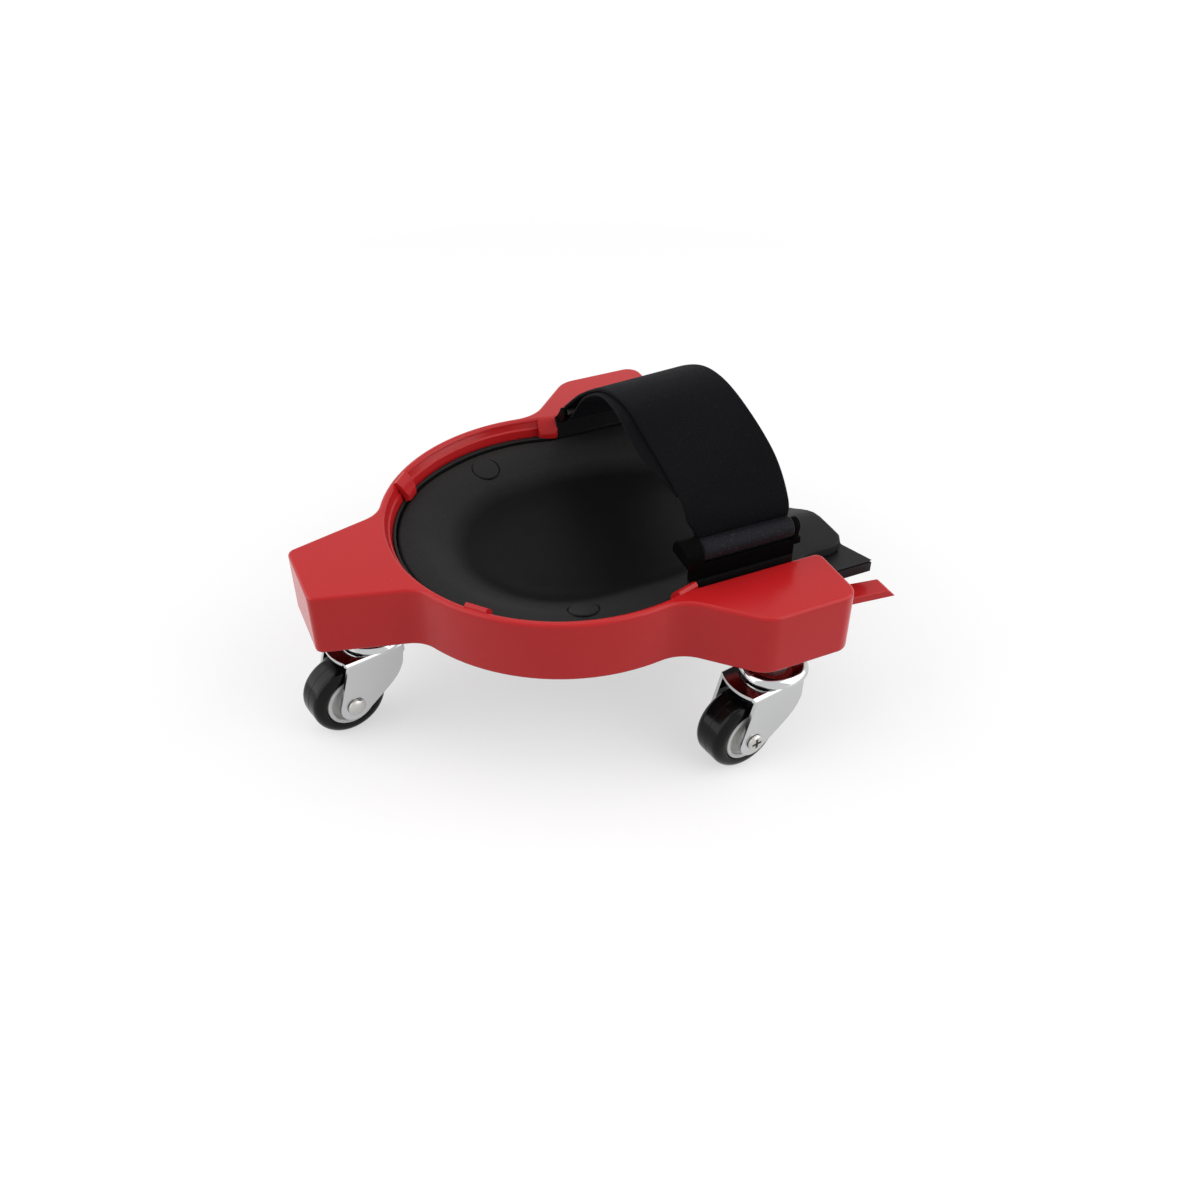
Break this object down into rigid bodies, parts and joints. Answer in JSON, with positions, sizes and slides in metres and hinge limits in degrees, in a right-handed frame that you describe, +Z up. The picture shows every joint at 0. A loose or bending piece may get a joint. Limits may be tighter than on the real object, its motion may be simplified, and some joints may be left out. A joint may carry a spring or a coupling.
{
  "type": "rolling knee creeper",
  "caption": "Low ring-shaped plastic frame on swivel casters, with a dished knee pad in a clipped-in tray and a webbing leg strap, for rolling along a floor on one knee.",
  "frame": {"origin": "on the floor under the middle of the creeper's box", "axes": "+X to the front, where the single caster is; +Y to the left; +Z up"},
  "size_m": [0.2745, 0.2384, 0.1497],
  "materials": {
    "red_plastic": "satin moulded red plastic",
    "black_plastic": "fine textured black plastic",
    "pad_foam": "smooth black foam skin",
    "black_webbing": "fine woven black webbing",
    "chrome": "bright plated pressed steel",
    "zinc_steel": "zinc plated steel",
    "grey_nylon": "pale grey nylon",
    "black_tyre": "smooth glossy black polyurethane"
  },
  "bodies": {
    "frame": {"frame": "red_plastic", "pad_tray": "black_plastic", "knee_pad": "pad_foam", "pad_button_left": "black_plastic", "pad_button_right": "black_plastic", "strap_bar_left": "zinc_steel", "strap_bar_right": "zinc_steel", "leg_strap": "black_webbing", "front_stem": "zinc_steel", "front_bearing_cup": "chrome", "front_captive_nut": "zinc_steel", "front_stem_nut": "zinc_steel", "left_stem": "zinc_steel", "left_bearing_cup": "chrome", "left_captive_nut": "zinc_steel", "left_stem_nut": "zinc_steel", "right_stem": "zinc_steel", "right_bearing_cup": "chrome", "right_captive_nut": "zinc_steel", "right_stem_nut": "zinc_steel"},
    "front_caster": {"front_fork": "chrome", "front_ball_cage": "zinc_steel", "front_axle_sleeve": "chrome", "front_axle_screw": "chrome"},
    "front_wheel": {"front_hub": "grey_nylon", "front_tyre": "black_tyre"},
    "left_caster": {"left_fork": "chrome", "left_ball_cage": "zinc_steel", "left_axle_sleeve": "chrome", "left_axle_screw": "chrome"},
    "left_wheel": {"left_hub": "grey_nylon", "left_tyre": "black_tyre"},
    "right_caster": {"right_fork": "chrome", "right_ball_cage": "zinc_steel", "right_axle_sleeve": "chrome", "right_axle_screw": "chrome"},
    "right_wheel": {"right_hub": "grey_nylon", "right_tyre": "black_tyre"}
  },
  "joints": [
    {"name": "front_swivel", "type": "hinge", "parent": "frame", "child": "front_caster", "pos_m": [0.09841, 0, 0.053], "axis": [0, 0, 1], "continuous": true},
    {"name": "front_roll", "type": "hinge", "parent": "front_caster", "child": "front_wheel", "pos_m": [0.11749, 0.00405, 0.019], "axis": [-0.2079, 0.9781, 0], "continuous": true},
    {"name": "left_swivel", "type": "hinge", "parent": "frame", "child": "left_caster", "pos_m": [-0.06579, 0.1005, 0.053], "axis": [0, 0, 1], "continuous": true},
    {"name": "left_roll", "type": "hinge", "parent": "left_caster", "child": "left_wheel", "pos_m": [-0.04659, 0.10389, 0.019], "axis": [-0.1736, 0.9848, 0], "continuous": true},
    {"name": "right_swivel", "type": "hinge", "parent": "frame", "child": "right_caster", "pos_m": [-0.06579, -0.1005, 0.053], "axis": [0, 0, 1], "continuous": true},
    {"name": "right_roll", "type": "hinge", "parent": "right_caster", "child": "right_wheel", "pos_m": [-0.04659, -0.10389, 0.019], "axis": [0.1736, 0.9848, 0], "continuous": true}
  ]
}
